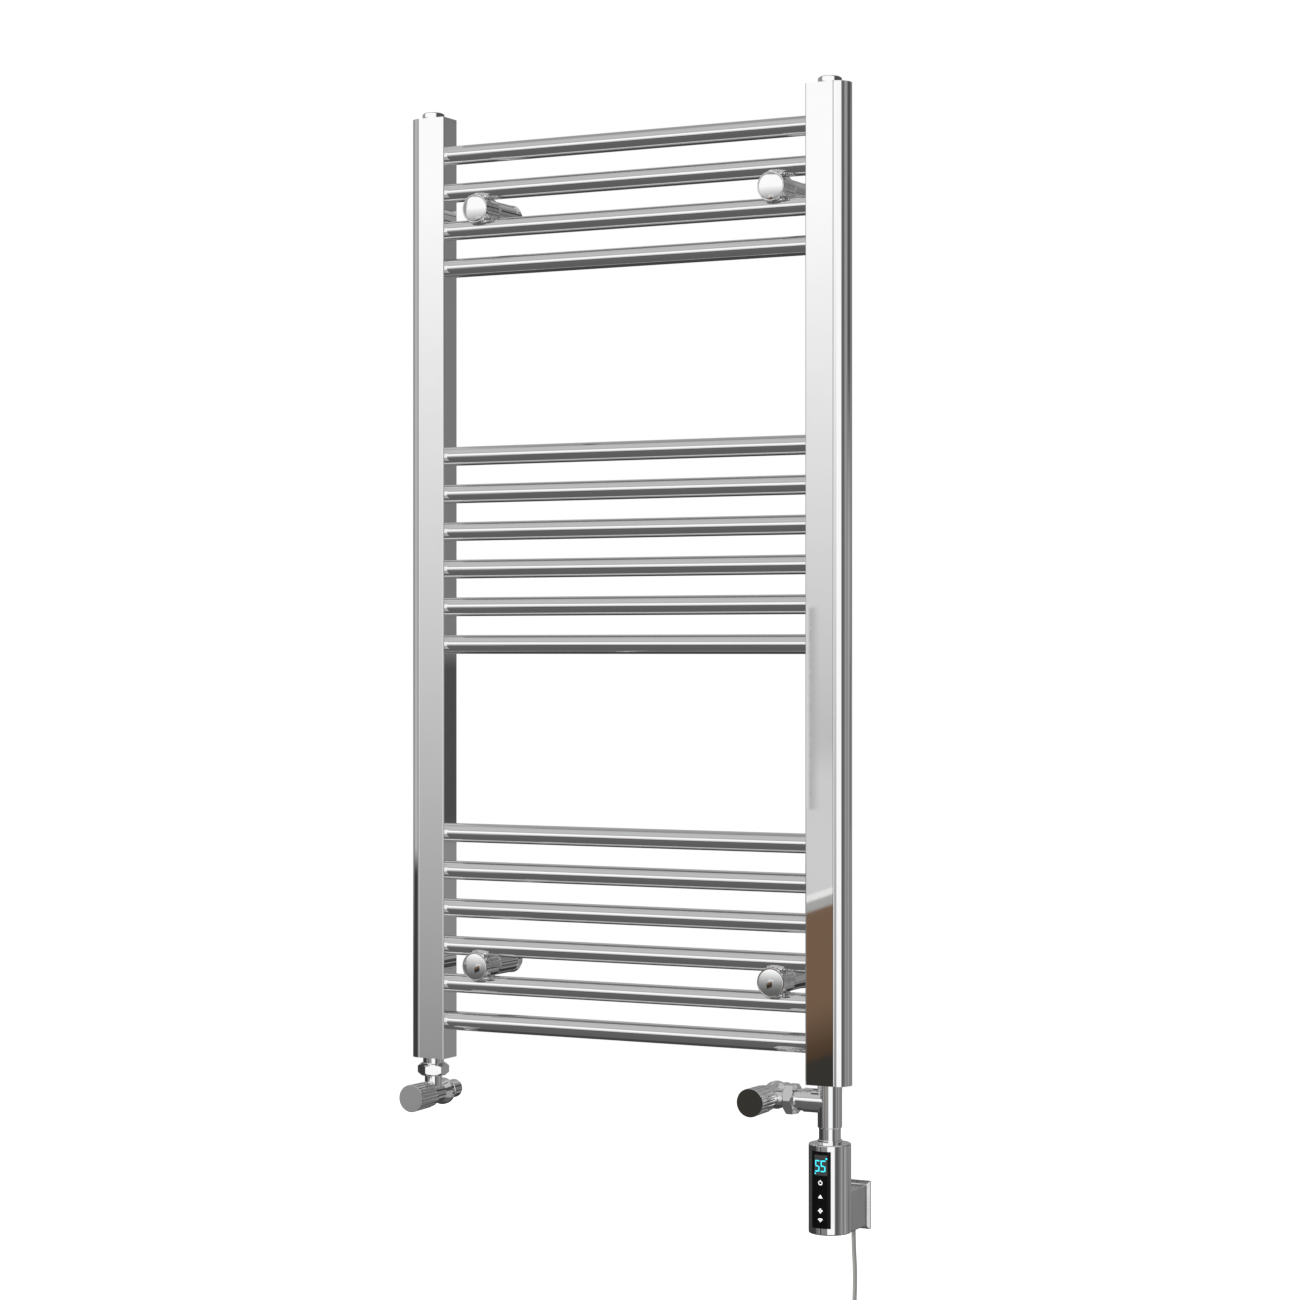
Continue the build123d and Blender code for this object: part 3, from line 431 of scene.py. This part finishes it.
def between(value, low, high, soft):
    """One inside a range of angles, nothing outside it, with soft ends."""
    return compute("MULTIPLY", edge(value, low - soft, low + soft), edge(value, high + soft, high - soft))


def lay_panel(behind, rising, left, right, low, high, soft, soft_rise, tone):
    """Lays one panel over the surround, from its bearings, its heights, the softness of each and its tone."""
    mask = compute("MULTIPLY", between(bearing, left, right, soft), between(rising, low, high, soft_rise))
    colour = tone if isinstance(tone, tuple) else (tone, tone, tone)
    return blend(tree, mask, behind, colour)


# Tone of the surround by height, in degrees
rise = add_node(tree, "ShaderNodeMapRange", {"Value": height, "From Min": -pi / 2, "From Max": pi / 2})
ramp = add_node(tree, "ShaderNodeValToRGB", {"Fac": rise.outputs["Result"]})
tones = [
    (-90, 0.11), (-40, 0.112), (-19, 0.12), (-15, 0.14), (-8.5, 0.26), (-6, 0.352), (-3.5, 0.445),
    (-1, 0.553), (1, 0.645), (3, 0.735), (5.5, 0.848), (8.5, 1.0), (21.5, 1.0),
    (23, 0.25), (25, 0.33), (27, 0.46), (32, 0.5), (45, 0.53), (65, 0.48), (90, 0.4),
]
while len(ramp.color_ramp.elements) < len(tones):
    ramp.color_ramp.elements.new(1.0)
for stop, (angle, tone) in zip(ramp.color_ramp.elements, tones):
    stop.position = (angle + 90) / 180
    stop.color = (tone, tone, tone, 1)
surround = ramp.outputs["Color"]
# Studio panels, a later one over an earlier: bearing from, to, height from, to, softness of each, tone
panels = [
    # right of the camera
    (66, 79, -45, 30, 2, 4, 0.14),
    (79, 88, -45, 30, 3, 4, 0.24),
    (88, 97, -45, 30, 2, 4, 0.32),
    (97, 108, -45, 30, 2, 4, 0.18),
    (108, 146, 2, 30, 3, 4, 0.08),
    (108, 124, -45, 2, 2, 4, 0.34),
    (124, 146, -45, 2, 2, 4, 0.22),
    # behind the radiator
    (146, 181, -45, 3, 3, 4, 0.245),
    (146, 181, -0.3, 30, 3, 0.6, 0.19),
    (144.5, 152.5, -3.4, -0.1, 1, 0.3, 0.07),
    (-181, -86, -4.5, 28, 3, 4, 0.29),
    (162, 181, 18, 31, 2, 2, 0.3),
    (-181, -162, 18, 31, 2, 2, 0.3),
    (165, 181, -33, -14, 2, 2, 0.03),
    (-181, -165, -33, -14, 2, 2, 0.03),
    (144, 153.5, 10.5, 19, 0.8, 1, 0.04),
    (146, 153, -19, -9.8, 0.8, 0.6, 0.05),
    # left of the radiator, above and below
    (-86, -57, -4.5, 28, 2, 4, 0.46),
    (-57, -43, -4.5, 28, 2, 4, 0.3),
    (-181, -80, 38, 91, 8, 6, 0.32),
    (-181, -88, -91, -4.5, 3, 2, 0.055),
    (-98, -56, -30, -3.9, 1.5, 0.3, 0.045),
    (-56, -43, -30, -3.9, 1.5, 0.3, 0.14),
    # a pale wall with a thin frame and its shadow
    (-27.5, -20, -4.8, -2, 0.8, 0.5, 0.62),
    (-24.6, -24.13, -2.97, 0.8, 0.12, 0.02, 0.42),
    (-24.9, -24.235, -2.97, 0.85, 0.012, 0.02, 0.69),
    # the white panel beside the camera, and what frames it
    (10, 50, -45, -12, 1.5, 3, 0.42),
    (10, 50, -12.8, 28, 1.5, 1.2, 0.97),
    (50, 58, -45, 28, 1, 2, 0.18),
    (58, 67, -45, 28, 1, 2, 0.085),
]
# A brown cabinet below that wall: pale top, its edge, the front, the front's shade and a dark foot
cabinet = [
    (-30.4, -22.2, -4.6, -4.41, 0.3, 0.02, (0.8, 0.8, 0.79)),
    (-30.4, -22.2, -4.9, -4.54, 0.3, 0.02, (0.38, 0.38, 0.37)),
    (-30.4, -22.2, -8, -4.73, 0.3, 0.04, (0.172, 0.107, 0.068)),
    (-30.4, -22.2, -9, -7.0, 0.3, 0.65, (0.06, 0.038, 0.023)),
    (-30.4, -22.2, -11.5, -7.49, 0.3, 0.04, (0.038, 0.035, 0.03)),
]
cabinet_bearing = radians(-23.8)
cabinet_slant = 0.34
across_cabinet = compute("SUBTRACT", bearing, cabinet_bearing)
slanted_height = compute("MULTIPLY_ADD", across_cabinet, -cabinet_slant, height)
for panel in panels:
    surround = lay_panel(surround, height, *panel)
for panel in cabinet:
    surround = lay_panel(surround, slanted_height, *panel)

# The camera sees plain white, mirrors see the panels, and soft light comes from an even grey
plain = add_node(tree, "ShaderNodeBackground", {"Color": (0.7, 0.7, 0.7, 1)})
mirrored = add_node(tree, "ShaderNodeBackground", {"Color": surround})
backdrop = add_node(tree, "ShaderNodeBackground", {"Color": (1, 1, 1, 1)})
path = add_node(tree, "ShaderNodeLightPath")
inputs = {0: path.outputs["Is Glossy Ray"], 1: plain.outputs[0], 2: mirrored.outputs[0]}
inside = add_node(tree, "ShaderNodeMixShader", inputs)
inputs = {0: path.outputs["Is Camera Ray"], 1: inside.outputs[0], 2: backdrop.outputs[0]}
whole = add_node(tree, "ShaderNodeMixShader", inputs)
add_node(tree, "ShaderNodeOutputWorld", {"Surface": whole.outputs[0]})


def soft_lamp(name, place, target, size, power):
    """Round area lamp that mirrors don't show."""
    lamp = bpy.data.lights.new(name, "AREA")
    lamp.shape = "DISK"
    lamp.size = size
    lamp.energy = power
    holder = bpy.data.objects.new(name, lamp)
    holder.location = place
    holder.rotation_euler = (Vector(target) - Vector(place)).to_track_quat("-Z", "Y").to_euler()
    holder.visible_glossy = False
    scene.collection.objects.link(holder)


soft_lamp("key_lamp", (-1.9, -2.3, 0.6), (0, 0, -0.2), 1.6, 64)
soft_lamp("fill_lamp", (1.2, -2.4, 1.8), (0, 0, -0.1), 1.6, 4)

# Camera at the photograph's place: level, turned left, with a long lens measured in pixels
picture_width = 1300
focal_length = 3069
sensor_width = 36
camera_place = (1.4726, rail_y - 2.809, -0.0659)
camera_turn = radians(27.2)
camera_data = bpy.data.cameras.new("camera")
camera_data.sensor_width = sensor_width
camera_data.lens = sensor_width * focal_length / picture_width
camera = bpy.data.objects.new("camera", camera_data)
camera.location = camera_place
camera.rotation_euler = (radians(90), 0, camera_turn)
scene.collection.objects.link(camera)
scene.camera = camera
